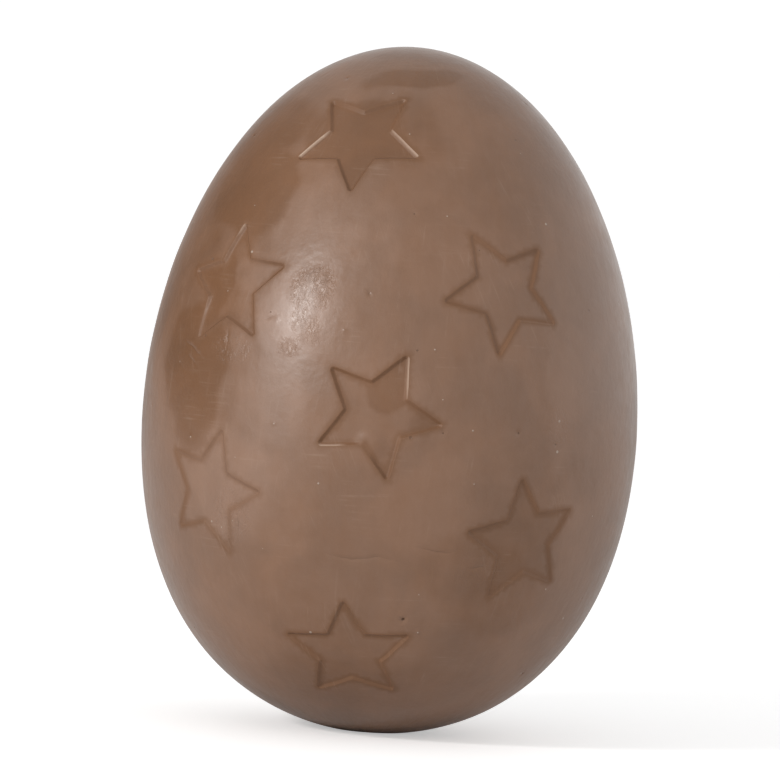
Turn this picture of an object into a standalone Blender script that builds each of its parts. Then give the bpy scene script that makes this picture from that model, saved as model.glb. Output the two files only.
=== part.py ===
# A moulded milk chocolate egg with stars pressed into it, standing on its blunt end.
#
# Metres, +Z up. The egg's own axis is the Z axis, and it stands on a small flat at z = 0.
# The front half of the mould faces -Y. The back half is the same, turned half a turn, so the
# two halves meet in the X-Z plane, where neither has a star.

import math

import bmesh
import bpy
from mathutils import Matrix, Vector

# The egg
HEIGHT = 0.140          # as it stands
FLAT_DEPTH = 0.0007     # what the blunt end loses to the flat that it stands on
MID_RADIUS = 0.0504     # halfway along the full egg
TIP_RADIUS = 0.0319     # how round the narrow end is
BUTT_RADIUS = 0.0497    # how round the blunt end is
TAPER = 0.0706          # how fast the outline draws in towards the tip, past the middle
HALF = (HEIGHT + FLAT_DEPTH) / 2    # half the length before the flat is cut

# The stars
STAR_RADIUS = 0.0130    # centre to tip
STAR_WAIST = 0.0063     # centre to the corner between two tips
STAR_DEPTH = 0.0005     # below the egg's surface, all over the floor
STAR_POINTS = 5
STAR_DRAFT = 0.00025    # how far a wall leans out, from its foot to the egg's surface
CUTTER_REACH = 0.0060   # how far the cutter goes into the egg, past the drop at the tips
CUTTER_STAND = 0.0020   # how far it stands out of it

# Where the front half's stars are: degrees round from the front towards +X, height above the
# table, and degrees clockwise from upright, seen from outside
STARS = (
    (-17.5, 0.1205, 31.0),
    (-44.5, 0.0895, 66.5),
    (26.5, 0.0920, 43.5),
    (-3.0, 0.0665, 23.5),
    (-44.5, 0.0485, 15.5),
    (35.0, 0.0430, 59.5),
    (-7.5, 0.0180, 67.5),
)
MOULD_HALVES = 2

# How finely the round faces are drawn
STEPS = 72
RINGS = 40
MERGE = 0.00001


def outline_radius(z):
    """The egg's radius at a height above the table."""
    u = min(1.0, max(-1.0, (z + FLAT_DEPTH) / HALF - 1.0))
    middle = MID_RADIUS / HALF
    tip = math.sqrt(TIP_RADIUS / HALF)
    butt = math.sqrt(BUTT_RADIUS / HALF)
    bulge = (tip + butt) / 2 - middle
    skew = (tip - butt) / 2 + TAPER
    fullness = middle - TAPER * u + bulge * u ** 2 + skew * u ** 3
    return HALF * math.sqrt(1.0 - u * u) * fullness


def outline_slope(z):
    """How fast the radius grows with height."""
    step = 0.00001
    return (outline_radius(z + step) - outline_radius(z - step)) / (2 * step)


def outline(inset=0.0):
    """The outline from the tip down to the flat, as (radius, height), set in by a thickness."""
    end = math.acos(FLAT_DEPTH / HALF - 1.0)
    points = [(0.0, HEIGHT - inset)]
    for ring in range(1, RINGS + 1):
        z = HALF * (1.0 + math.cos(end * ring / RINGS)) - FLAT_DEPTH
        slope = outline_slope(z)
        across = 1.0 / math.hypot(1.0, slope)
        points.append((outline_radius(z) - inset * across, z + inset * slope * across))
    points.append((0.0, points[-1][1]))
    return points


def turned(name, profile, collection):
    """A closed solid turned about Z from a profile that runs from its top to its foot."""
    mesh = bpy.data.meshes.new(name)
    edges = [(i, i + 1) for i in range(len(profile) - 1)]
    mesh.from_pydata([(radius, 0.0, z) for radius, z in profile], edges, [])
    piece = bpy.data.objects.new(name, mesh)
    collection.objects.link(piece)
    screw = piece.modifiers.new("turn", 'SCREW')
    screw.axis = 'Z'
    screw.steps = STEPS
    screw.render_steps = STEPS
    screw.use_merge_vertices = True
    screw.merge_threshold = MERGE
    screw.use_smooth_shade = True
    return piece


def star_place(around, z, turn):
    """A frame on the egg's surface: local Z points out of it, local Y to the star's first tip."""
    angle = math.radians(around)
    slope = outline_slope(z)
    outward = Vector((math.sin(angle), -math.cos(angle), -slope)).normalized()
    sideways = Vector((math.cos(angle), math.sin(angle), 0.0))
    upward = outward.cross(sideways)
    radius = outline_radius(z)
    foot = Vector((radius * math.sin(angle), -radius * math.cos(angle), z))
    frame = Matrix((sideways, upward, outward)).transposed().to_4x4()
    return Matrix.Translation(foot) @ frame @ Matrix.Rotation(-math.radians(turn), 4, 'Z')


def add_star(bm, place):
    """A five-pointed block through the surface, wider outside than in, so its walls lean."""
    length = CUTTER_REACH + CUTTER_STAND
    lean = STAR_DRAFT * length / STAR_DEPTH / 2
    block = bmesh.ops.create_cone(
        bm, cap_ends=True, segments=2 * STAR_POINTS, depth=length,
        radius1=STAR_RADIUS - lean, radius2=STAR_RADIUS + lean)
    lift = (CUTTER_STAND - CUTTER_REACH) / 2
    for vertex in block["verts"]:
        bearing = math.degrees(math.atan2(vertex.co.x, vertex.co.y))
        corner = round(bearing * STAR_POINTS / 180.0)
        if corner % 2:
            vertex.co.x *= STAR_WAIST / STAR_RADIUS
            vertex.co.y *= STAR_WAIST / STAR_RADIUS
        vertex.co.z += lift
        vertex.co = place @ vertex.co


def star_cutters(core, collection):
    """Every star's block, each trimmed on its inner side to the curved floor of its star."""
    bm = bmesh.new()
    for half in range(MOULD_HALVES):
        half_turn = Matrix.Rotation(half * math.pi, 4, 'Z')
        for around, z, turn in STARS:
            add_star(bm, half_turn @ star_place(around, z, turn))
    mesh = bpy.data.meshes.new("star_cutters")
    bm.to_mesh(mesh)
    bm.free()
    cutters = bpy.data.objects.new("star_cutters", mesh)
    collection.objects.link(cutters)
    cut(cutters, core)
    return cutters


def cut(piece, cutter):
    boolean = piece.modifiers.new("cut", 'BOOLEAN')
    boolean.operation = 'DIFFERENCE'
    boolean.solver = 'EXACT'
    boolean.object = cutter


def hide(guide):
    guide.hide_render = True
    guide.display_type = 'WIRE'


def milk_chocolate():
    material = bpy.data.materials.new("milk_chocolate")
    material.use_nodes = True
    shader = material.node_tree.nodes["Principled BSDF"]
    shader.inputs["Base Color"].default_value = (0.205, 0.110, 0.068, 1.0)
    shader.inputs["Roughness"].default_value = 0.42
    shader.inputs["Metallic"].default_value = 0.0
    return material


def main():
    for old in list(bpy.data.objects):
        bpy.data.objects.remove(old, do_unlink=True)
    parts = bpy.data.collections.new("chocolate_egg")
    guides = bpy.data.collections.new("cutters")
    bpy.context.scene.collection.children.link(parts)
    bpy.context.scene.collection.children.link(guides)

    core = turned("star_floor", outline(inset=STAR_DEPTH), guides)
    cutters = star_cutters(core, guides)
    egg = turned("chocolate_egg", outline(), parts)
    egg.data.materials.append(milk_chocolate())
    cut(egg, cutters)
    for guide in (core, cutters):
        hide(guide)


main()
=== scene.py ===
import math
import random

import bmesh
import bpy
import numpy as np
from mathutils import Matrix, Vector, noise
from mathutils.geometry import delaunay_2d_cdt
from mathutils.kdtree import KDTree


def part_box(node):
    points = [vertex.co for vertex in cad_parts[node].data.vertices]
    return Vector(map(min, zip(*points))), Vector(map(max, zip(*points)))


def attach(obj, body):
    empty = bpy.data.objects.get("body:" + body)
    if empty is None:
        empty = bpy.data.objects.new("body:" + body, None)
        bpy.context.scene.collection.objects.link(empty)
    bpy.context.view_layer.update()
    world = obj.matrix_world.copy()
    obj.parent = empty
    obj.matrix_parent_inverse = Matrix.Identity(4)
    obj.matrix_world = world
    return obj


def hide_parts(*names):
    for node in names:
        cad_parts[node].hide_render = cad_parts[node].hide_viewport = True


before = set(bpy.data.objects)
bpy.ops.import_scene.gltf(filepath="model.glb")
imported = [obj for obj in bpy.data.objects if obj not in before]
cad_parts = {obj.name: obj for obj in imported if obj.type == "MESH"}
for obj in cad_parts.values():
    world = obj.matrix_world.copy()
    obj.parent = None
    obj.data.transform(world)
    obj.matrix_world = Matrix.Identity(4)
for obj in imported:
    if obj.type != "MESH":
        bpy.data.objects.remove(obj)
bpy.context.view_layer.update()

low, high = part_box("chocolate_egg")
mm = 0.001

egg = {
    "flatDepth": 0.7 * mm,  # what the blunt end loses to the flat it stands on
    "midRadius": 50.4 * mm,
    "tipRadius": 31.9 * mm,  # how round the narrow end is
    "buttRadius": 49.7 * mm,  # how round the blunt end is
    "taper": 0.0706,
    "cell": 0.95 * mm,  # face size on the plain shell
    "outlineSteps": 6000,
    "seed": 7,  # for the stray pits and specks, and for the vector noise
}
noise.seed_set(egg["seed"])  # without it the vector noise differs from run to run
eggHalf = (high.z - low.z + egg["flatDepth"]) / 2


def shellRadius(z):
    # radius of the plain shell at a height, before any star or wave
    u = np.clip((z + egg["flatDepth"]) / eggHalf - 1, -1, 1)
    middle = egg["midRadius"] / eggHalf
    tip = math.sqrt(egg["tipRadius"] / eggHalf)
    butt = math.sqrt(egg["buttRadius"] / eggHalf)
    bulge = (tip + butt) / 2 - middle
    skew = (tip - butt) / 2 + egg["taper"]
    fullness = middle - egg["taper"] * u + bulge * u**2 + skew * u**3
    return eggHalf * np.sqrt(1 - u * u) * fullness


def shellSlope(z):
    step = 0.01 * mm
    return (shellRadius(z + step) - shellRadius(z - step)) / (2 * step)


def onShell(around, z):
    # a point of the shell, measured round from the front towards +X, in radians
    radius = shellRadius(z)
    return np.stack([radius * np.sin(around), -radius * np.cos(around), z + 0 * radius], axis=-1)


def outward(around, z):
    slope = shellSlope(z)
    normal = np.stack([np.sin(around), -np.cos(around), -slope + 0 * around], axis=-1)
    return normal / np.linalg.norm(normal, axis=-1, keepdims=True)


# The shell is unrolled to a flat disc that keeps every angle, tip in the middle, so that
# flat triangles with good corners are good ones on the egg too.

def unrollTable():
    turn = np.linspace(0.0005, math.acos(egg["flatDepth"] / eggHalf - 1), egg["outlineSteps"])
    z = eggHalf * (1 + np.cos(turn)) - egg["flatDepth"]
    radius = shellRadius(z)
    step = np.hypot(np.diff(z), np.diff(radius))
    along = np.concatenate([[radius[0]], radius[0] + np.cumsum(step)])
    spread = np.cumsum(step / ((radius[1:] + radius[:-1]) / 2))
    spread = np.concatenate([[0], spread]) + math.log(radius[0])
    return z, along, spread - spread[len(spread) // 2]


tableZ, tableAlong, tableSpread = unrollTable()


def toDisc(around, z):
    reach = np.exp(np.interp(-z, -tableZ, tableSpread))
    return np.stack([reach * np.sin(around), -reach * np.cos(around)], axis=-1)


def fromDisc(flat):
    reach = np.hypot(flat[:, 0], flat[:, 1])
    around = np.arctan2(flat[:, 0], -flat[:, 1])
    z = np.interp(np.log(np.maximum(reach, 1e-9)), tableSpread, tableZ)
    return around, z


star = {
    "radius": 13.0 * mm,
    "waist": 6.3 * mm,
    "lip": 0.26 * mm,  # rounding where the wall meets the shell
    "foot": 0.42 * mm,  # rounding where the wall meets the floor
    "wallRun": 0.55 * mm,  # how far a wall reaches inwards, so shallow stars have gentler walls
    "tipRounding": 0.35 * mm,
    "waistRounding": 0.5 * mm,
    "leastRounding": 0.08 * mm,
    "pointGap": 0.5 * mm,  # between points along a wall
    "wander": (0.10 * mm, 3.5 * mm),  # how far, and over what length, an edge strays from straight
    # degrees round from the front, height in mm, degrees clockwise from upright, depth in mm,
    # and how clear of haze its floor is, which paints the floor darker, partly as painted shade in the
    # recess
    "places": (
        (-17.5, 120.5, 31.0, 0.62, 0.95),
        (-44.5, 89.5, 66.5, 0.56, 0.10),
        (26.5, 92.0, 43.5, 0.36, 0.02),
        (-3.0, 66.5, 23.5, 0.64, 0.15),
        (-44.5, 48.5, 15.5, 0.34, -0.15),
        (35.0, 43.0, 59.5, 0.36, 0.38),
        (-7.5, 18.0, 67.5, 0.40, 0.10),
    ),
}


def wallSection(depth):
    # (distance outside the star's outline, drop below the shell), from the shell to the floor
    lean = math.atan2(depth, star["wallRun"])
    fit = min(1, depth * 0.9 / ((star["lip"] + star["foot"]) * (1 - math.cos(lean))))
    lip, foot = star["lip"] * fit, star["foot"] * fit
    straight = (depth - (lip + foot) * (1 - math.cos(lean))) / math.tan(lean)
    width = (lip + foot) * math.sin(lean) + straight
    section = []
    for share in (0, 0.25, 0.5, 0.75, 1):
        turn = lean * share
        section.append((width / 2 - lip * math.sin(turn), lip * (1 - math.cos(turn))))
    for share in (1, 0.5, 0):
        turn = lean * share
        section.append((foot * math.sin(turn) - width / 2, depth - foot * (1 - math.cos(turn))))
    return section


def starRing(grow):
    # the star's outline in its own plane, moved out by grow, with its corners rounded
    sector = math.pi / 5
    tipHalf = math.atan2(star["waist"] * math.sin(sector), star["radius"] - star["waist"] * math.cos(sector))
    waistHalf = tipHalf + sector
    tipReach = star["radius"] + grow / math.sin(tipHalf)
    waistReach = star["waist"] + grow / math.sin(waistHalf)
    tipRound = max(star["leastRounding"], star["tipRounding"] + grow)
    waistRound = max(star["leastRounding"], star["waistRounding"] - grow)
    points = []
    for k in range(5):
        for reach, half, radius, bearing, side in (
                (tipReach, tipHalf, tipRound, 2 * k * sector, 1),
                (waistReach, waistHalf, waistRound, (2 * k + 1) * sector, -1)):
            centre = reach - side * radius / math.sin(half)
            sweep = math.pi / 2 - half
            steps = max(3, round(2 * sweep * radius / star["pointGap"] * 2))
            for i in range(steps + 1):
                turn = sweep * (2 * i / steps - 1) * side
                away = Vector((centre + side * radius * math.cos(turn), side * radius * math.sin(turn)))
                points.append(Vector((away.x * math.sin(bearing) + away.y * math.cos(bearing),
                                      away.x * math.cos(bearing) - away.y * math.sin(bearing))))
    return subdivided(points, star["pointGap"])


def subdivided(points, gap):
    made = []
    for i, point in enumerate(points):
        following = points[(i + 1) % len(points)]
        steps = max(1, round((following - point).length / gap))
        made += [tuple(point.lerp(following, k / steps)) for k in range(steps)]
    return np.array(made)


def starDistance(flat):
    # how far each point of the star's plane is outside its outline; negative inside
    sector = math.pi / 5
    corners = np.array([
        [(star["radius"], star["waist"])[k % 2] * math.sin(k * sector),
         (star["radius"], star["waist"])[k % 2] * math.cos(k * sector)] for k in range(10)])
    nearest = np.full(len(flat), np.inf)
    inside = np.zeros(len(flat), bool)
    for k in range(10):
        a, b = corners[k], corners[(k + 1) % 10]
        edge = b - a
        share = np.clip(((flat - a) @ edge) / (edge @ edge), 0, 1)
        nearest = np.minimum(nearest, np.linalg.norm(flat - a - share[:, None] * edge, axis=1))
        crosses = (a[1] > flat[:, 1]) != (b[1] > flat[:, 1])
        with np.errstate(divide="ignore", invalid="ignore"):
            meets = (b[0] - a[0]) * (flat[:, 1] - a[1]) / (b[1] - a[1]) + a[0]
        inside ^= crosses & (flat[:, 0] < meets)
    return np.where(inside, -nearest, nearest)


def compass(around, height, bearing, back=0):
    # a place on the shell, with its normal, the way the bearing points there and the way to its right;
    # degrees round, height in mm, degrees clockwise from up, and 1 for the same place on the back
    angle = np.array(math.radians(around) + back * math.pi)
    z = np.array(low.z + height * mm)
    normal = outward(angle, z)
    side = np.array([math.cos(angle), math.sin(angle), 0])
    up = np.cross(normal, side)
    spin = math.radians(bearing)
    ahead = side * math.sin(spin) + up * math.cos(spin)
    return onShell(angle, z), normal, ahead, side * math.cos(spin) - up * math.sin(spin)


def starFrames():
    # the front half's stars, and the same ones half a turn round for the back
    for back in (0, 1):
        for around, height, turn, depth, clear in star["places"]:
            centre, normal, first, second = compass(around, height, turn, back)
            yield centre, second, first, normal, depth * mm, clear


def dropToShell(points, normal):
    # slides points along a star's normal until they lie on the shell
    for i in range(8):
        radius = np.hypot(points[:, 0], points[:, 1])
        gap = radius - shellRadius(points[:, 2])
        slope = shellSlope(points[:, 2])
        rate = (points[:, 0] * normal[0] + points[:, 1] * normal[1]) / radius - slope * normal[2]
        points = points - (gap / rate)[:, None] * normal
    return np.arctan2(points[:, 0], -points[:, 1]), points[:, 2]


seam = {  # the faint ridge where the mould's two halves met
    "height": 0.10 * mm,
    "rows": ((-0.55, 0), (-0.22, 0.35), (0, 1), (0.22, 0.35), (0.55, 0)),  # mm aside, share of the height
    "gap": 0.6 * mm,
    "from": 1.0 * mm,  # height that it starts at
    "steps": 60,
    "tipRow": 60,  # row of the outline table that it stops at
    "tipClear": 3.0 * mm,  # the side rows stop where the rings get this small
    "mean": 0.55,  # of the full height, with the swing of it along the way
    "swing": 0.9,
    "tipFade": 6 * mm,
    "clear": 0.35 * mm,  # plain points keep this far from it
}

marks = {
    # degrees round, height in mm, radius in mm, drop in mm (negative stands proud)
    "dots": (
        (42.5, 105.7, 0.42, -0.12), (0.0, 121.6, 0.24, -0.06), (-9.0, 129.6, 0.22, -0.05),
        (-9.5, 74.5, 0.20, -0.05), (20.0, 54.1, 0.20, -0.05), (-26.5, 63.1, 0.22, -0.05),
        (11.5, 23.8, 0.26, -0.06), (-12.0, 82.4, 0.16, -0.04), (7.0, 26.3, 0.45, 0.35),
        (-7.0, 89.9, 0.17, 0.09),
    ),
    "dotSides": 9,
    "dotShoulder": 0.62,  # share of a dot's radius and of its drop at the inner ring
    # width in mm, drop in mm, how pale its lips are, then points as (degrees round, height in mm)
    "grooves": (
        (0.55, 0.22, 0.7, ((-32.5, 25.8), (-29.5, 24.2), (-25.0, 22.0))),
        (0.35, 0.10, 0, ((-39.5, 46.5), (-40.0, 43.0), (-39.3, 40.5), (-40.5, 37.6))),
        (0.30, 0.08, 0, ((-36.2, 44.8), (-35.6, 42.8), (-36.0, 40.6))),
        (0.30, 0.08, 0, ((-57.0, 77.5), (-53.0, 76.3), (-49.5, 74.6))),
        (0.28, 0.06, 0, ((-55.0, 74.9), (-51.0, 73.0))),
        (0.30, 0.07, 0, ((-13.0, 38.4), (-7.0, 37.9), (-1.0, 38.8), (4.0, 38.2))),
        (0.30, 0.07, 0, ((8.0, 41.2), (13.0, 40.3), (18.0, 40.6))),
        (0.28, 0.07, 0, ((20.5, 37.9), (23.0, 37.4), (26.0, 37.9))),
        (0.26, 0.06, 0, ((-32.0, 83.3), (-29.3, 84.1))),
        (0.26, 0.06, 0, ((-42.3, 81.0), (-41.5, 77.2))),
    ),
    "grooveGap": 0.4 * mm,  # between points along a groove
    "grooveWander": 0.35 * mm,
    "grooveClear": 0.35,  # mm from a groove's edge that plain points keep
    # where a star's lip is painted pale, for rubbed wear and as a painted highlight of the light it catches:
    # degrees round, height in mm, reach in mm, which of the edges there, as degrees clockwise from up, and
    # how strongly
    "rubsAndGlints": (
        (-33.5, 118.2, 4.0, -35, 0.85), (-0.5, 119.7, 4.5, 45, 0.6), (3.5, 74.5, 4.0, 90, 0.55),
        (-13.5, 60.0, 3.0, 180, 0.5), (-47.5, 101.3, 1.8, -60, 0.4), (32.5, 86.4, 6.0, 180, 0.12),
        (-7.5, 128.6, 2.5, 20, 0.2),
    ),
    # degrees round, height in mm, reach in mm, share of the depth lost where a mark ran full
    "filled": (
        (-55, 49, 8, 0.85), (-42, 38, 5, 0.7), (-53, 81, 4, 0.5), (18, 101, 4, 0.4), (44, 38, 6, 0.4),
        (-4, 60.5, 2.5, 0.8),
    ),
    "allDots": 70,  # the placed ones and the stray ones together
    "strayHeights": (4, 136),  # mm
    "strayRadius": (0.12, 0.30),
    "strayDrop": (0.05, 0.18),  # for one of the full radius, and less for a smaller one
    "fullRadius": 0.4 * mm,
    "strayApart": 3 * mm,
    "seamClear": 4,  # degrees round from the seam that stay free of stray ones
    "proudShare": 0.55,  # of the stray ones that are specks instead of pits
    "proudRise": -0.5,  # what turns a pit's drop into a speck's
    "clear": 0.4 * mm,  # plain points keep this far from a dot
}

waves = {  # how far the poured chocolate strays from the mould's true shape
    "sizes": ((0.10 * mm, 34 * mm), (0.025 * mm, 9 * mm)),  # how far, and over what length
    "from": 8 * mm,  # they fade out below this height, so that the flat stays flat
}


class Sheet:
    # points and edges on the unrolled shell, with what each point does to the surface
    def __init__(self):
        self.flat, self.values, self.edges = [], [], []
        self.count = 0

    def add(self, around, z, drop=0.0, floor=0.0, wear=0.0, speck=0.0, wall=0.0, closed=None):
        flat = toDisc(around, z)
        n = len(flat)
        self.flat.append(flat)
        self.values.append(np.stack([np.zeros(n) + v for v in (drop, floor, wear, speck, wall)], axis=1))
        if closed is not None:
            last = n if closed else n - 1
            self.edges += [(self.count + i, self.count + (i + 1) % n) for i in range(last)]
        self.count += n

    def all(self):
        return np.concatenate(self.flat), np.concatenate(self.values)


def plainPoints():
    # staggered rings of points, a cell apart, from the flat up to the tip
    rows = int(tableAlong[-1] / (egg["cell"] * 0.866))
    arounds, heights = [], []
    for row in range(1, rows):
        z = np.interp(tableAlong[-1] * row / rows, tableAlong, tableZ)
        count = max(6, round(2 * math.pi * float(shellRadius(z)) / egg["cell"]))
        arounds.append((np.arange(count) + row % 2 / 2) * 2 * math.pi / count)
        heights.append(np.full(count, z))
    return np.concatenate(arounds), np.concatenate(heights)


def starAt(points):
    # how deep and how clear the star floor is under each point, and which are by a star's wall
    depthHere = np.zeros(len(points))
    clearHere = np.zeros(len(points))
    wall = np.zeros(len(points), bool)
    margin = egg["cell"] * 0.55
    for centre, second, first, normal, depth, clear in starFrames():
        near = np.linalg.norm(points - centre, axis=1) < star["radius"] * 1.3
        flat = np.stack([(points[near] - centre) @ second, (points[near] - centre) @ first], axis=1)
        distance = starDistance(flat)
        section = wallSection(depth)
        depthHere[near] = np.where(distance < section[-1][0], depth, depthHere[near])
        clearHere[near] = np.where(distance < section[-1][0], clear, clearHere[near])
        wall[near] |= (distance < section[0][0] + margin) & (distance > section[-1][0] - margin)
    return depthHere, clearHere, wall


def wandering(points, index):
    # a little unevenness in a star's outline, the same for every ring of its wall
    reach, length = star["wander"]
    return points + reach * np.array([tuple(noise.noise_vector(Vector((x, y, index * 0.11)) / length))[:2]
                                      for x, y in points])


def standsOut(points):
    # how much of a mark's depth is left; the chocolate ran full at a few spots
    share = np.ones(len(points))
    for around, height, reach, loss in marks["filled"]:
        for back in (0, 1):
            spot = compass(around, height, 0, back)[0]
            near = np.clip(1.5 - np.linalg.norm(points - spot, axis=1) / (reach * mm), 0, 1)
            share *= 1 - loss * near * near * (3 - 2 * near)
    return share


def rubAndGlint(points, facing):
    # how pale a star's edge is painted, for wear and as a painted highlight; facing is the way it looks,
    # away from the star
    share = np.zeros(len(points))
    for around, height, reach, bearing, wornAndGlinting in marks["rubsAndGlints"]:
        for back in (0, 1):
            spot, _, ahead, _ = compass(around, height, bearing, back)
            away = np.linalg.norm(points - spot, axis=1) / (reach * mm)
            chosen = np.clip((facing @ ahead - 0.6) * 4, 0, 1)
            share = np.maximum(share, wornAndGlinting * chosen * np.clip(2 * (1.3 - away), 0, 1))
    return share


def lipShare(sunk):
    # the pale paint of rubbing and of the painted highlight takes the lip of a wall most, and its foot not
    # at all
    return 0.0 if sunk == 0 else max(0.0, min(1.0, 1.3 - 1.8 * sunk))


def addStars(sheet):
    for index, (centre, second, first, normal, depth, clear) in enumerate(starFrames()):
        for grow, drop in wallSection(depth):
            ring = wandering(starRing(grow), index)
            raised = centre + ring[:, :1] * second + ring[:, 1:] * first
            around, z = dropToShell(raised, normal)
            aside = np.roll(ring, -1, axis=0) - np.roll(ring, 1, axis=0)
            aside /= np.maximum(np.linalg.norm(aside, axis=1, keepdims=True), 1e-9)
            facing = aside[:, :1] * first - aside[:, 1:] * second
            wear = rubAndGlint(raised, facing) * lipShare(drop / depth)
            sheet.add(around, z, drop=drop, floor=clear * drop / depth, wear=wear, wall=1.0, closed=True)


def alongPath(places, gap):
    # evenly spaced (around, z) along straight runs between places given in degrees and mm
    around = np.radians([p[0] for p in places])
    z = low.z + np.array([p[1] for p in places]) * mm
    reach = np.concatenate([[0], np.cumsum(np.linalg.norm(np.diff(onShell(around, z), axis=0), axis=1))])
    steps = max(2, round(reach[-1] / gap))
    at = np.linspace(0, reach[-1], steps + 1)
    return np.interp(at, reach, around), np.interp(at, reach, z)


def sideways(around, z, offset):
    # the same path moved sideways on the shell
    x, y = np.gradient(around) * shellRadius(z), np.gradient(z) * np.sqrt(1 + shellSlope(z) ** 2)
    length = np.maximum(np.hypot(x, y), 1e-12)
    rise = np.sqrt(1 + shellSlope(z) ** 2)
    return around + offset * y / length / shellRadius(z), z - offset * x / length / rise


def addSeam(sheet):
    taken = []
    top = float(np.interp(-seam["tipClear"], -shellRadius(tableZ), tableZ))
    for side in (-90, 90):
        heights = (np.linspace(low.z + seam["from"], tableZ[seam["tipRow"]], seam["steps"]) - low.z) / mm
        around, z = alongPath([(side, height) for height in heights], seam["gap"])
        strength = np.array([seam["mean"] + seam["swing"] * noise.noise(Vector((side, 0, height * 90)))
                             for height in z])
        strength = np.clip(strength, 0.1, 1) * np.clip((high.z - z) / seam["tipFade"], 0.3, 1)
        for offset, share in seam["rows"]:
            use = (z < top) | (offset == 0)
            movedAround, movedZ = sideways(around, z, offset * mm)
            ridge = -seam["height"] * share * strength
            sheet.add(movedAround[use], movedZ[use], drop=ridge[use], closed=False)
            taken.append((onShell(movedAround[use], movedZ[use]), seam["clear"]))
    return taken


def addDots(sheet, rng):
    # pits where air sat in the mould, painted dark as shade in the hollow, and specks that stand proud
    taken = []
    dots = [(math.radians(a), low.z + h * mm, r * mm, d * mm) for a, h, r, d in marks["dots"]]
    spots = [onShell(np.array(a), np.array(z)) for a, z, r, d in dots]
    while len(dots) < marks["allDots"]:
        height = rng.uniform(*marks["strayHeights"]) * mm
        around = rng.uniform(-math.pi, math.pi)
        radius = rng.uniform(*marks["strayRadius"]) * mm
        drop = rng.uniform(*marks["strayDrop"]) * mm * radius / marks["fullRadius"]
        if rng.random() < marks["proudShare"]:
            drop *= marks["proudRise"]
        spot = onShell(np.array(around), np.array(low.z + height))
        clearOfSeam = abs(abs(math.degrees(around)) - 90) > marks["seamClear"]
        apart = min(np.linalg.norm(spot - other) for other in spots)
        if clearOfSeam and apart > marks["strayApart"]:
            dots.append((around, low.z + height, radius, drop))
            spots.append(spot)
    for (around, z, radius, drop), floor, clear, onWall in zip(dots, *starAt(np.array(spots))):
        if onWall:
            continue
        turns = np.arange(marks["dotSides"]) * 2 * math.pi / marks["dotSides"] + around
        for share, fall in ((1.0, 0.0), (marks["dotShoulder"], marks["dotShoulder"])):
            ringAround = around + share * radius * np.cos(turns) / float(shellRadius(z))
            ringZ = z + share * radius * np.sin(turns) / math.sqrt(1 + float(shellSlope(z)) ** 2)
            # a pit's negative speck paints it dark: painted shade in the hollow
            sheet.add(ringAround, ringZ, drop=floor + drop * fall, floor=clear,
                      speck=-math.copysign(fall, drop), wall=fall, closed=True)
        sheet.add(np.array([around]), np.array([z]), drop=floor + drop, floor=clear,
                  speck=-math.copysign(1, drop), wall=1.0)
        taken.append((onShell(np.array([around]), np.array([z])), radius + marks["clear"]))
    return taken


def addGrooves(sheet):
    taken = []
    for index, (width, drop, pale, places) in enumerate(marks["grooves"]):
        around, z = alongPath(places, marks["grooveGap"])
        wander = np.array([noise.noise(Vector((index * 7.3, height * 400, turn * 20)))
                           for turn, height in zip(around, z)])
        around, z = sideways(around, z, wander * marks["grooveWander"])
        under, clear, wall = starAt(onShell(around, z))
        if wall.any():
            continue
        fade = np.sin(np.linspace(0.12, math.pi - 0.12, len(z))) ** 0.6  # shallower at both ends
        for share, fall in ((-0.5, 0), (0, 1), (0.5, 0)):
            movedAround, movedZ = sideways(around, z, share * width * mm)
            # a negative speck paints the bottom of the groove dark: painted shade in the crease
            sheet.add(movedAround, movedZ, drop=under + drop * mm * fall * fade, floor=clear,
                      wear=pale * (1 - fall) * fade, speck=-0.6 * fall * fade, closed=False)
        taken.append((onShell(around, z), (width / 2 + marks["grooveClear"]) * mm))
    return taken


def waveAt(points):
    reach = np.zeros(len(points))
    for size, length in waves["sizes"]:
        reach += size * np.array([noise.noise(Vector(p) / length) for p in points])
    return reach


def addCap(verts, faces, rim):
    # the flat that the egg stands on, inside the shell's lowest ring
    ring = [verts[i] for i in rim]
    z = ring[0][2]
    radius = math.hypot(ring[0][0], ring[0][1])
    inner = [Vector((0, 0))]
    for share in (0.2, 0.4, 0.6, 0.8):
        count = max(6, round(len(ring) * share))
        turns = [k * 2 * math.pi / count for k in range(count)]
        inner += [Vector((math.cos(turn), math.sin(turn))) * radius * share for turn in turns]
    flat = [Vector(p[:2]) for p in ring] + inner
    edges = [(i, (i + 1) % len(ring)) for i in range(len(ring))]
    made = delaunay_2d_cdt(flat, edges, [], 1, 1e-9, True)
    index = []
    for point, origin in zip(made[0], made[3]):
        if origin and origin[0] < len(ring):
            index.append(rim[origin[0]])
        else:
            index.append(len(verts))
            verts.append((point.x, point.y, z))
    faces += [tuple(index[i] for i in reversed(face)) for face in made[2]]


def addPlain(sheet, taken):
    # plain shell and star floors, clear of the walls and of the marks already there
    around, z = plainPoints()
    points = onShell(around, z)
    depthHere, clearHere, wall = starAt(points)
    keep = ~wall
    tree = KDTree(len(points))
    for i, point in enumerate(points):
        tree.insert(point, i)
    tree.balance()
    for spots, clear in taken:
        for spot in spots:
            for _, i, _ in tree.find_range(spot, clear):
                keep[i] = False
    sheet.add(around[keep], z[keep], drop=depthHere[keep], floor=clearHere[keep])


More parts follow.
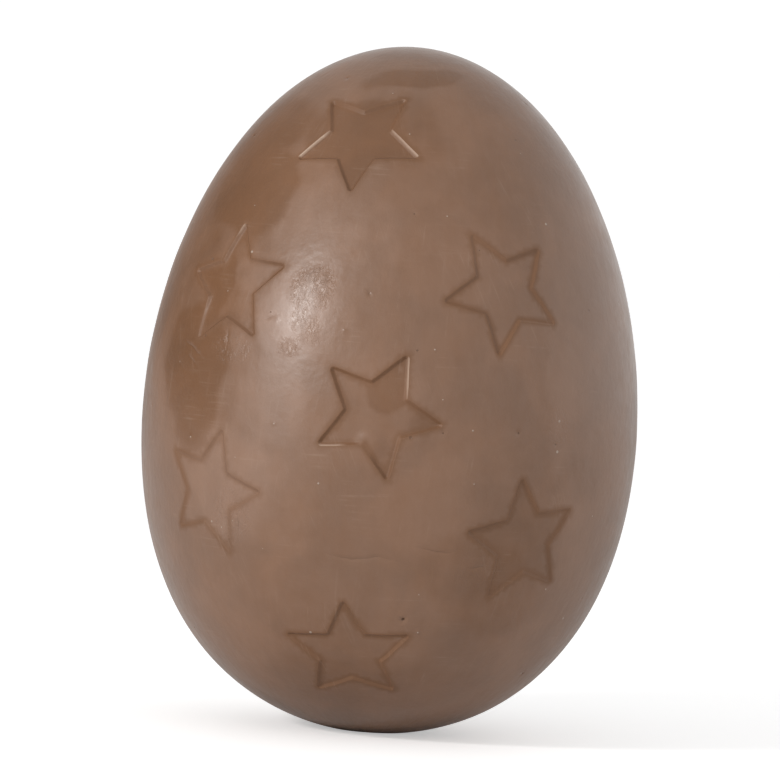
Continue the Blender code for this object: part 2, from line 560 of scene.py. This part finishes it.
def storeColumns(mesh, around, z, values):
    # what the chocolate needs to know at each point; the points of the flat come last, and are bare
    spare = len(mesh.vertices) - len(values)
    drop, starFloorClearAndShade, lipWearAndGlint, speck, wall = values.T
    patches = patchesAt(around, z, bloomAndHighlight["patches"], bloomAndHighlight["warp"])
    inStars = patchesAt(around, z, bloomAndHighlight["floorPatches"], bloomAndHighlight["fineWarp"])
    patches += inStars * np.clip(drop / bloomAndHighlight["floorFrom"], 0, 1)
    columns = {"starFloorClearAndShade": starFloorClearAndShade, "lipWearAndGlint": lipWearAndGlint, "speck": speck, "wall": wall,
               "bloomAndHighlight": np.clip(patches, -1, 1),
               "crinkle": patchesAt(around, z, bloomAndHighlight["crinkles"], bloomAndHighlight["fineWarp"])}
    for name, column in columns.items():
        layer = mesh.attributes.new(name, 'FLOAT', 'POINT')
        layer.data.foreach_set("value", np.concatenate([column, np.zeros(spare)]).astype(np.float32))
    wrap = np.stack([np.sin(around), -np.cos(around)], axis=1) * egg["midRadius"]
    along = np.interp(-z, -tableZ, tableAlong)
    layer = mesh.attributes.new("wrap", 'FLOAT_VECTOR', 'POINT')
    wrap = np.concatenate([np.column_stack([wrap, along]), np.zeros((spare, 3)) + tableAlong[-1]])
    layer.data.foreach_set("vector", wrap.ravel().astype(np.float32))


def buildShell():
    rng = random.Random(egg["seed"])
    sheet = Sheet()
    rimZ = tableZ[-1]
    rimCount = round(2 * math.pi * float(shellRadius(rimZ)) / egg["cell"])
    sheet.add(np.arange(rimCount) * 2 * math.pi / rimCount, np.full(rimCount, rimZ), closed=True)
    addStars(sheet)
    taken = addSeam(sheet) + addDots(sheet, rng) + addGrooves(sheet)
    addPlain(sheet, taken)

    flat, values = sheet.all()
    made = delaunay_2d_cdt([Vector(p) for p in flat], sheet.edges, [], 0, 1e-9, True)
    source = np.array([o[0] if o else -1 for o in made[3]])
    for i in np.flatnonzero(source < 0):  # where two marks cross
        source[i] = np.argmin(np.linalg.norm(flat - np.array(made[0][i]), axis=1))
    print("shell points", len(flat), "faces", len(made[2]))
    around, z = fromDisc(np.array(made[0]))
    values = values[source]
    points = onShell(around, z)
    deepest = max(place[3] for place in star["places"]) * mm
    fading = (values[:, 0] > 0) & (values[:, 0] <= deepest)
    values[fading, 0] *= standsOut(points[fading])
    sink = values[:, 0] - waveAt(points) * np.clip((z - low.z) / waves["from"], 0, 1)
    points = points - sink[:, None] * outward(around, z)
    verts, faces = points.tolist(), list(made[2])
    rimPlace = {int(s): i for i, s in enumerate(source) if 0 <= s < rimCount}
    addCap(verts, faces, [rimPlace[i] for i in range(rimCount)])

    mesh = bpy.data.meshes.new("eggShell")
    mesh.from_pydata(verts, [], faces)
    shell = bpy.data.objects.new("eggShell", mesh)
    bpy.context.scene.collection.objects.link(shell)
    mesh.shade_smooth()
    storeColumns(mesh, around, z, values)
    return shell


bloomAndHighlight = {
    # degrees round, height in mm, half width and half height in mm, degrees of lean, strength:
    # negative is fresh glossy chocolate, positive is the dull grey haze
    "patches": (
        (-50, 109, 13, 9, -30, -1.0), (-66, 94, 10, 20, 0, -0.4), (-51, 87, 10, 8, 0, -0.35),
        (-54, 74, 11, 12, 0, -0.9), (-50, 63, 7, 7, 20, -0.8), (-60, 120, 12, 9, 0, -0.8),
        (-20, 122, 12, 7, 0, -0.75), (2, 133, 12, 3.4, 14, -0.9), (0, 138.5, 15, 6, 0, -0.5),
        (2, 122, 6, 9, 0, -0.35), (27, 34, 16, 9, -20, -0.35), (-2, 12, 26, 8, 0, -0.3),
        (34, 108, 9, 13, 30, -0.1), (42, 70, 5, 16, 10, -0.1),
        # haze patches on the highlight, down its tail to the lower left and on the right side: their paler
        # haze colour partly paints the reflected lamp light, a painted highlight
        (-24.5, 85, 7, 9.5, 0, 0.9), (-22, 104, 11, 9, 10, 0.38), (-27, 68, 7, 9, 0, 0.5),
        (-38, 50, 10, 12, -10, 0.55), (-13, 100, 9, 12, 0, 0.3), (58, 78, 16, 40, 0, 0.38),
    ),
    # the same, but only on the floors of the stars; the fresh ones paint those floors darker, partly as
    # painted shade in the recesses
    "floorPatches": (
        (-52, 90, 6, 7, 0, -1.0), (-52, 82.5, 4, 5, 0, -0.8), (-39.5, 92, 5, 4, 0, 0.5),
        (-1.5, 71.2, 3.7, 4.6, 10, -1.0), (8, 65, 3, 2, 0, -0.4), (-17.5, 120.5, 14, 12, 0, -0.3),
    ),
    "floorFrom": 0.3 * mm,  # what lies deeper than this is a star's floor
    # where the skin is crinkled, as fine ragged wrinkles
    "crinkles": (
        (-21, 90, 4.6, 4.6, 0, 1.0), (-21.5, 83, 2.8, 4.2, 20, 0.8), (-25, 78.5, 2.5, 2, 0, 0.8),
        (-41, 77, 5, 3, 0, 0.5), (-38, 44, 5, 6, 0, 0.6), (24, 36, 5, 3, 0, 0.3), (41, 66, 3, 4, 0, 0.4),
    ),
    "warp": ((3.0, 13 * mm), (1.2, 4.5 * mm)),  # mm of wander at each size
    "fineWarp": ((0.9, 4 * mm), (0.35, 1.2 * mm)),
    "inner": 0.8,  # share of a patch's half size where it begins to fade, and where it ends
    "outer": 1.22,
}


def patchesAt(around, z, patches, warp):
    # placed patches with wandering outlines, front and back
    points = onShell(around, z)
    wander = np.zeros((len(points), 2))
    for reach, size in warp:
        wander += reach * np.array([tuple(noise.noise_vector(Vector(p) / size))[:2] for p in points])
    rise = np.interp(-z, -tableZ, tableAlong)
    field = np.zeros(len(points))
    for back in range(2):
        for middle, height, wide, tall, lean, strength in patches:
            turn = np.angle(np.exp(1j * (around - math.radians(middle) - back * math.pi)))
            across = turn * shellRadius(z) / mm + wander[:, 0]
            up = (float(np.interp(-low.z - height * mm, -tableZ, tableAlong)) - rise) / mm + wander[:, 1]
            c, s = math.cos(math.radians(lean)), math.sin(math.radians(lean))
            reach = np.hypot((across * c + up * s) / wide, (up * c - across * s) / tall)
            blend = np.clip((bloomAndHighlight["outer"] - reach) / (bloomAndHighlight["outer"] - bloomAndHighlight["inner"]), 0, 1)
            patch = strength * blend * blend * (3 - 2 * blend)
            opposed = np.sign(patch) != np.sign(field)
            field = np.where(np.abs(patch) > np.abs(field), patch, field + patch * opposed)
    return np.clip(field, -1, 1)


shell = buildShell()
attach(shell, "root")
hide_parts("chocolate_egg")
print("egg shell made")


def newMaterial(name):
    material = bpy.data.materials.new(name)
    material.use_nodes = True
    material.node_tree.nodes.clear()
    return material, material.node_tree


def feed(tree, socket, value):
    # a value is either a plain one or another node's output
    if isinstance(value, bpy.types.NodeSocket):
        tree.links.new(value, socket)
    else:
        socket.default_value = value


def place(tree, kind, inputs=None, **settings):
    made = tree.nodes.new(kind)
    for name, value in settings.items():
        setattr(made, name, value)
    for name, value in (inputs or {}).items():
        feed(tree, made.inputs[name], value)
    return made


def sums(tree, operation, *values):
    made = place(tree, "ShaderNodeMath", operation=operation)
    for socket, value in zip(made.inputs, values):
        feed(tree, socket, value)
    return made.outputs[0]


def ramp(tree, value, start, end, low=0.0, high=1.0, smooth=True):
    made = place(tree, "ShaderNodeMapRange", {
        "Value": value, "From Min": start, "From Max": end, "To Min": low, "To Max": high},
        interpolation_type='SMOOTHSTEP' if smooth else 'LINEAR')
    return made.outputs[0]


def mixed(tree, share, first, second, blend='MIX'):
    # two colours mixed; a colour mix has its sockets behind those for numbers and vectors
    made = place(tree, "ShaderNodeMix", data_type='RGBA', blend_type=blend)
    for index, value in ((0, share), (6, first), (7, second)):
        feed(tree, made.inputs[index], value)
    return made.outputs[2]


def noiseAt(tree, where, size, detail=2.0, roughness=0.5, distortion=0.0, stretch=None):
    # soft noise with features about size metres across, made longer along the stretched axes
    if stretch:
        narrowed = [1 / v for v in stretch]
        where = place(tree, "ShaderNodeMapping", {"Vector": where, "Scale": narrowed}).outputs[0]
    return place(tree, "ShaderNodeTexNoise", {
        "Vector": where, "Scale": 1 / size, "Detail": detail, "Roughness": roughness,
        "Distortion": distortion}).outputs[0]


def newGroup(name, takes, gives):
    group = bpy.data.node_groups.new(name, "ShaderNodeTree")
    for socketName, kind, value in takes:
        socket = group.interface.new_socket(name=socketName, in_out='INPUT', socket_type=kind)
        if value is not None:
            socket.default_value = value
    for socketName, kind in gives:
        group.interface.new_socket(name=socketName, in_out='OUTPUT', socket_type=kind)
    start = group.nodes.new("NodeGroupInput")
    end = group.nodes.new("NodeGroupOutput")
    return group, start.outputs, end.inputs


def useGroup(tree, group, inputs):
    return place(tree, "ShaderNodeGroup", inputs, node_tree=group).outputs


def centred(tree, value):
    # noise swings about a half, and this about nought
    return sums(tree, 'SUBTRACT', value, 0.5)


hazing = {
    "cloud": 0.022,  # sizes across, in metres
    "mottle": 0.005,
    "streak": 0.003,
    "streakStretch": (1, 1, 7),
    "mottleShare": 0.5,
    "none": -0.75,  # sums of the three and the placed patches that give no haze, and all of it
    "full": 0.95,
}


def hazeGroup():
    # bloom: the grey haze of cocoa butter, in clouds with a few wiped streaks; the placed patches fed in
    # also lay paler haze over the highlight and its tail, a painted highlight
    group, takes, gives = newGroup(
        "cocoaHaze",
        (("Vector", 'NodeSocketVector', None), ("Wrap", 'NodeSocketVector', None),
         ("Patches", 'NodeSocketFloat', 0.0), ("Clouds", 'NodeSocketFloat', 0.8),
         ("Streaks", 'NodeSocketFloat', 0.35)),
        (("Haze", 'NodeSocketFloat'), ("Mottle", 'NodeSocketFloat')))
    clouds = noiseAt(group, takes["Vector"], hazing["cloud"], 4, 0.55, 0.5)
    mottle = noiseAt(group, takes["Vector"], hazing["mottle"], 4, 0.6, 0.3)
    streaks = noiseAt(group, takes["Wrap"], hazing["streak"], 3, 0.6, 0.1, hazing["streakStretch"])
    total = sums(group, 'MULTIPLY_ADD', centred(group, clouds), takes["Clouds"], takes["Patches"])
    total = sums(group, 'MULTIPLY_ADD', centred(group, streaks), takes["Streaks"], total)
    total = sums(group, 'MULTIPLY_ADD', centred(group, mottle), hazing["mottleShare"], total)
    group.links.new(ramp(group, total, hazing["none"], hazing["full"], smooth=False), gives["Haze"])
    group.links.new(mottle, gives["Mottle"])
    return group


scuffing = {
    # radians of turn for each metre down the egg, a hair's width, its stretch, and how big the
    # clouds are that the hairs come in, in metres
    "runs": (
        (2, 0.0006, (1, 1, 18), 0.009), (0, 0.0005, (22, 22, 1), 0.013), (-9, 0.0005, (1, 1, 26), 0.017),
    ),
    "line": (0.55, 0.75),  # noise at which a hair begins, and is full
    "cloud": (0.48, 0.68),
}


def scuffGroup():
    # hairline scuffs: down the egg, round it and on the slant, only where the clouds let them be
    group, takes, gives = newGroup(
        "hairlineScuffs",
        (("Wrap", 'NodeSocketVector', None), ("Amount", 'NodeSocketFloat', 0.5)),
        (("Scuffs", 'NodeSocketFloat'),))
    along = place(group, "ShaderNodeSeparateXYZ", {"Vector": takes["Wrap"]}).outputs["Z"]
    total = None
    for twist, size, stretch, cover in scuffing["runs"]:
        turned = place(group, "ShaderNodeVectorRotate", {
            "Vector": takes["Wrap"], "Angle": sums(group, 'MULTIPLY', along, twist)},
            rotation_type='Z_AXIS').outputs[0]
        lines = noiseAt(group, turned, size, 2, 0.55, 0.0, stretch)
        where = noiseAt(group, turned, cover, 1, 0.5, 0.0)
        run = sums(group, 'MULTIPLY', ramp(group, lines, *scuffing["line"]),
                   ramp(group, where, *scuffing["cloud"]))
        total = run if total is None else sums(group, 'MAXIMUM', total, run)
    group.links.new(sums(group, 'MULTIPLY', total, takes["Amount"]), gives["Scuffs"])
    return group


crumbs = {
    "size": (0.03, 0.075),  # share of a cell
    "rim": (1.3, 0.7),  # share of the size where a spot begins, and is full
    "specksOver": 0.86,  # of random numbers from 0 to 1
    "pinholesUnder": 0.10,
}


def crumbGroup():
    # tiny pale specks and pinholes strewn at random; the pinholes are painted dark as shade in the holes
    group, takes, gives = newGroup(
        "specksAndPinholes",
        (("Vector", 'NodeSocketVector', None), ("Spacing", 'NodeSocketFloat', 0.004)),
        (("Specks", 'NodeSocketFloat'), ("Pinholes", 'NodeSocketFloat')))
    scale = sums(group, 'DIVIDE', 1.0, takes["Spacing"])
    cells = place(group, "ShaderNodeTexVoronoi", {
        "Vector": takes["Vector"], "Scale": scale, "Randomness": 1.0})
    parts = place(group, "ShaderNodeSeparateColor", {"Color": cells.outputs["Color"]})
    # a cell's own random colour decides whether it holds a speck, and how big
    size = ramp(group, parts.outputs["Green"], 0, 1, *crumbs["size"], smooth=False)
    spot = ramp(group, sums(group, 'DIVIDE', cells.outputs["Distance"], size), *crumbs["rim"])
    for name, test, limit in (("Specks", 'GREATER_THAN', crumbs["specksOver"]),
                              ("Pinholes", 'LESS_THAN', crumbs["pinholesUnder"])):
        chosen = sums(group, test, parts.outputs["Red"], limit)
        group.links.new(sums(group, 'MULTIPLY', spot, chosen), gives[name])
    return group


chocolate = {
    "fresh": (0.163, 0.077, 0.036, 1),
    "hazed": (0.244, 0.144, 0.097, 1),
    "scuff": (0.33, 0.23, 0.17, 1),
    # pale of rubbed star lips, which also stands in for light caught on the lips: a painted highlight
    "rubAndGlint": (0.46, 0.335, 0.255, 1),
    "speck": (0.47, 0.40, 0.34, 1),
    # the dark of pits, pinholes and groove bottoms: painted shade in the hollows
    "pitShade": (0.085, 0.042, 0.022, 1),
    "deeper": (0.90, 0.90, 0.90, 1),  # what the broad clouds of tone multiply the colour by
    "paler": (1.06, 1.05, 1.04, 1),
    "clouds": 0.8,
    "streaks": 0.35,
    "scuffs": 0.2,
    "crumbSpacing": 0.0042,
    "specks": 0.5,  # how strong the small strewn ones are
    "strewnPitShade": 0.45,
    "placedSpecks": 0.75,
    "placedPitShade": 0.85,
    "freshRoughness": 0.33,
    "hazedRoughness": 0.39,
    "mottleRoughness": 0.22,
    "smearRoughness": 0.5,
    "wornRoughness": 0.10,
    "paintedWallShade": 0.7,  # how much haze the walls of the stars lack, which paints them darker as painted shade
    "wallDulling": 0.22,  # how much rougher the walls of the stars are
    "wallCoat": 0.15,  # share of the coat that they keep
    "level": 0.42,
    "coatRoughness": 0.20,
    "freshCoat": 0.17,
    "hazedCoat": 0.12,
    "smearCoat": (0.5, 1.5),  # share of the coat in a smear's dull and bright parts
    # sizes across, in metres
    "toneSize": 0.016,
    "smearSize": 0.0016,
    "grainSize": 0.0011,
    "peelSize": 0.0045,
    "crinkleSize": 0.0010,
    # metres of bump
    "grain": 0.00004,
    "peel": 0.00011,
    "crinkle": 0.00009,
    "scuffHeight": -0.00002,
    "speckHeight": 0.00006,
    "pinholeHeight": -0.00010,
}


def chocolateColor(tree, where, haze, scuffs, wornAndGlinting, spots, speck):
    color = mixed(tree, haze["Haze"], chocolate["fresh"], chocolate["hazed"])
    cloud = noiseAt(tree, where, chocolate["toneSize"], 3, 0.55, 0.4)
    tone = mixed(tree, ramp(tree, cloud, 0.3, 0.7), chocolate["deeper"], chocolate["paler"])
    color = mixed(tree, 1, color, tone, 'MULTIPLY')
    color = mixed(tree, scuffs, color, chocolate["scuff"])
    # star lips painted pale, partly for wear and partly as a painted highlight
    color = mixed(tree, wornAndGlinting, color, chocolate["rubAndGlint"])
    strewn = sums(tree, 'MULTIPLY', spots["Specks"], chocolate["specks"])
    placed = ramp(tree, speck, 0.3, 1, 0, chocolate["placedSpecks"])
    color = mixed(tree, sums(tree, 'MAXIMUM', strewn, placed), color, chocolate["speck"])
    # pits, pinholes and groove bottoms painted dark: painted shade in the hollows
    strewn = sums(tree, 'MULTIPLY', spots["Pinholes"], chocolate["strewnPitShade"])
    placed = ramp(tree, speck, -0.1, -1, 0, chocolate["placedPitShade"])
    return mixed(tree, sums(tree, 'MAXIMUM', strewn, placed), color, chocolate["pitShade"])


def chocolateGloss(tree, wrap, haze, scuffs, wornAndGlinting, wall):
    # roughness and coat, both uneven where the haze is smeared
    smear = noiseAt(tree, wrap, chocolate["smearSize"], 4, 0.65, 0.2, (1, 1, 2.2))
    rough = ramp(tree, haze["Haze"], 0, 1, chocolate["freshRoughness"], chocolate["hazedRoughness"],
                 smooth=False)
    rough = sums(tree, 'MULTIPLY_ADD', centred(tree, haze["Mottle"]), chocolate["mottleRoughness"], rough)
    smearing = sums(tree, 'MULTIPLY', haze["Haze"], chocolate["smearRoughness"])
    rough = sums(tree, 'MULTIPLY_ADD', centred(tree, smear), smearing, rough)
    light = sums(tree, 'MAXIMUM', scuffs, wornAndGlinting)
    rough = sums(tree, 'MULTIPLY_ADD', light, chocolate["wornRoughness"], rough)
    rough = sums(tree, 'MULTIPLY_ADD', wall, chocolate["wallDulling"], rough)
    coat = ramp(tree, haze["Haze"], 0.15, 0.85, chocolate["freshCoat"], chocolate["hazedCoat"])
    coat = sums(tree, 'MULTIPLY', coat, ramp(tree, smear, 0.35, 0.65, *chocolate["smearCoat"]))
    coat = sums(tree, 'MULTIPLY', coat, ramp(tree, wall, 0, 1, 1, chocolate["wallCoat"], smooth=False))
    return rough, coat


def chocolateHeight(tree, where, wrap, scuffs, spots, crinkle):
    grain = noiseAt(tree, where, chocolate["grainSize"], 3, 0.6)
    peel = noiseAt(tree, where, chocolate["peelSize"], 2, 0.5, 0.3)
    ragged = noiseAt(tree, wrap, chocolate["crinkleSize"], 3, 0.6, 1.2, (1, 1, 1.3))
    ragged = sums(tree, 'MULTIPLY', ramp(tree, ragged, 0.35, 0.65), crinkle)
    height = sums(tree, 'MULTIPLY', grain, chocolate["grain"])
    for value, size in ((peel, "peel"), (scuffs, "scuffHeight"), (spots["Specks"], "speckHeight"),
                        (spots["Pinholes"], "pinholeHeight"), (ragged, "crinkle")):
        height = sums(tree, 'MULTIPLY_ADD', value, chocolate[size], height)
    return height


def chocolateMaterial():
    material, tree = newMaterial("milkChocolate")
    where = place(tree, "ShaderNodeTexCoord").outputs["Object"]
    floor, wear, speck, wall, patches, crinkle = (
        place(tree, "ShaderNodeAttribute", attribute_name=name).outputs["Fac"]
        for name in ("starFloorClearAndShade", "lipWearAndGlint", "speck", "wall", "bloomAndHighlight", "crinkle"))
    wrap = place(tree, "ShaderNodeAttribute", attribute_name="wrap").outputs["Vector"]
    # star floors lose haze and so are painted darker: partly painted shade in the stars' recesses
    patches = sums(tree, 'SUBTRACT', patches, floor)
    # star walls and pits lose haze and so are painted darker: painted shade
    patches = sums(tree, 'MULTIPLY_ADD', wall, -chocolate["paintedWallShade"], patches)
    haze = useGroup(tree, hazeGroup(), {
        "Vector": where, "Wrap": wrap, "Patches": patches,
        "Clouds": chocolate["clouds"], "Streaks": chocolate["streaks"]})
    scuffs = useGroup(tree, scuffGroup(), {"Wrap": wrap, "Amount": chocolate["scuffs"]})["Scuffs"]
    scuffs = sums(tree, 'MULTIPLY', scuffs, ramp(tree, haze["Mottle"], 0.38, 0.62))
    wornAndGlinting = sums(tree, 'MULTIPLY', wear, ramp(tree, haze["Mottle"], 0.3, 0.6, 0.55, 1))
    spots = useGroup(tree, crumbGroup(), {"Vector": where, "Spacing": chocolate["crumbSpacing"]})

    color = chocolateColor(tree, where, haze, scuffs, wornAndGlinting, spots, speck)
    rough, coat = chocolateGloss(tree, wrap, haze, scuffs, wornAndGlinting, wall)
    height = chocolateHeight(tree, where, wrap, scuffs, spots, crinkle)
    bump = place(tree, "ShaderNodeBump", {"Height": height, "Strength": 1.0, "Distance": 1.0})
    shader = place(tree, "ShaderNodeBsdfPrincipled", {
        "Base Color": color, "Roughness": rough, "Coat Weight": coat, "Normal": bump.outputs[0],
        "Specular IOR Level": chocolate["level"], "Coat Roughness": chocolate["coatRoughness"]})
    out = place(tree, "ShaderNodeOutputMaterial")
    tree.links.new(shader.outputs[0], out.inputs[0])
    return material


shell.data.materials.append(chocolateMaterial())
print("chocolate made")


stage = {
    "floorSize": 40.0,
    "floorColor": (0.86, 0.86, 0.86, 1),
    "fleckColor": (0.8514, 0.8514, 0.8514, 1),
    "fleckSize": 0.05,
    "floorRoughness": 0.7,
    "floorGlow": 0.42,  # only for the camera, so that it looks white but throws no light
    "backdrop": 1.05,  # what the camera sees behind the egg
    "horizon": 1.0,
    "zenith": 0.62,
    "darkSide": (-122, 62, 0.12),  # degrees round, degrees wide, share of the light kept there
    "brightSide": (90, 60, 1.22),
    "lampColor": (1, 0.99, 0.98),
}


def paleFloor():
    material, tree = newMaterial("paleFloor")
    where = place(tree, "ShaderNodeTexCoord").outputs["Object"]
    fleck = noiseAt(tree, where, stage["fleckSize"], 3, 0.5)
    tone = mixed(tree, fleck, stage["fleckColor"], stage["floorColor"])
    seen = place(tree, "ShaderNodeLightPath").outputs["Is Camera Ray"]
    shader = place(tree, "ShaderNodeBsdfPrincipled", {
        "Base Color": tone, "Roughness": stage["floorRoughness"], "Emission Color": (1, 1, 1, 1),
        "Emission Strength": sums(tree, 'MULTIPLY', seen, stage["floorGlow"])})
    out = place(tree, "ShaderNodeOutputMaterial")
    tree.links.new(shader.outputs[0], out.inputs[0])
    mesh = bpy.data.meshes.new("floor")
    bm = bmesh.new()
    bmesh.ops.create_circle(bm, cap_ends=True, segments=64, radius=stage["floorSize"] / 2)
    bm.to_mesh(mesh)
    bm.free()
    floor = bpy.data.objects.new("floor", mesh)
    bpy.context.scene.collection.objects.link(floor)
    mesh.materials.append(material)


def softWorld():
    # a pale tent round the egg: dimmer overhead, a dark card on the left, a white one on the right
    world = bpy.data.worlds.new("softWorld")
    world.use_nodes = True
    tree = world.node_tree
    back = tree.nodes["Background"]
    where = place(tree, "ShaderNodeTexCoord").outputs["Generated"]
    up = place(tree, "ShaderNodeSeparateXYZ", {"Vector": where}).outputs["Z"]
    light = ramp(tree, up, 0.1, 0.9, stage["horizon"], stage["zenith"])
    for around, wide, share in (stage["darkSide"], stage["brightSide"]):
        aim = (math.sin(math.radians(around)), -math.cos(math.radians(around)), 0)
        near = place(tree, "ShaderNodeVectorMath", {0: where, 1: aim}, operation='DOT_PRODUCT')
        inside = ramp(tree, near.outputs["Value"], math.cos(math.radians(wide)), 1, 1, share)
        light = sums(tree, 'MULTIPLY', light, inside)
    seen = place(tree, "ShaderNodeLightPath").outputs["Is Camera Ray"]
    level = place(tree, "ShaderNodeMix", {"Factor": seen, "A": light, "B": stage["backdrop"]})
    tree.links.new(level.outputs["Result"], back.inputs["Strength"])
    back.inputs["Color"].default_value = (1, 1, 1, 1)
    bpy.context.scene.world = world


lights = {  # degrees round and above, metres away, metres wide and tall, degrees turned, watts
    "core": {"around": -47, "above": 22, "distance": 0.9, "size": (0.19, 0.085), "spin": 38, "power": 3.6},
    "panel": {"around": -52, "above": 1, "distance": 1.1, "size": (0.35, 1.05), "spin": -12, "power": 2.0},
}


def addLights():
    for name, light in lights.items():
        data = bpy.data.lights.new(name, 'AREA')
        data.shape = 'RECTANGLE'
        data.size, data.size_y = light["size"]
        data.energy = light["power"]
        data.color = stage["lampColor"]
        lamp = bpy.data.objects.new(name, data)
        bpy.context.scene.collection.objects.link(lamp)
        around, above = math.radians(light["around"]), math.radians(light["above"])
        level = Vector((math.sin(around), -math.cos(around), 0))
        away = level * math.cos(above) + Vector((0, 0, math.sin(above)))
        lamp.location = eggMiddle() + away * light["distance"]
        spin = Matrix.Rotation(math.radians(light["spin"]), 3, 'Z')
        lamp.rotation_euler = (away.to_track_quat('Z', 'Y').to_matrix() @ spin).to_euler()


def eggMiddle():
    return Vector((0, 0, low.z + eggHalf - egg["flatDepth"]))


camera = {
    "distance": 1.0,
    "above": 2.0,  # degrees
    "lean": 3.94,  # degrees that the egg leans to the right in the frame
    "span": 0.16004,  # metres across the frame at the egg
    "right": 0.0004,  # how far the egg's middle is from the frame's, in metres
    "up": 0.00005,
}


def addCamera():
    data = bpy.data.cameras.new("camera")
    data.lens = data.sensor_width * camera["distance"] / camera["span"]
    shot = bpy.data.objects.new("camera", data)
    bpy.context.scene.collection.objects.link(shot)
    above = math.radians(camera["above"])
    back = Vector((0, -math.cos(above), math.sin(above)))
    turn = back.to_track_quat('Z', 'Y').to_matrix() @ Matrix.Rotation(math.radians(camera["lean"]), 3, 'Z')
    aim = eggMiddle() - turn @ Vector((camera["right"], camera["up"], 0))
    shot.location = aim + back * camera["distance"]
    shot.rotation_euler = turn.to_euler()
    bpy.context.scene.camera = shot


paleFloor()
softWorld()
addLights()
addCamera()
bpy.context.scene.view_settings.view_transform = 'Standard'
print("floor, light and camera made")
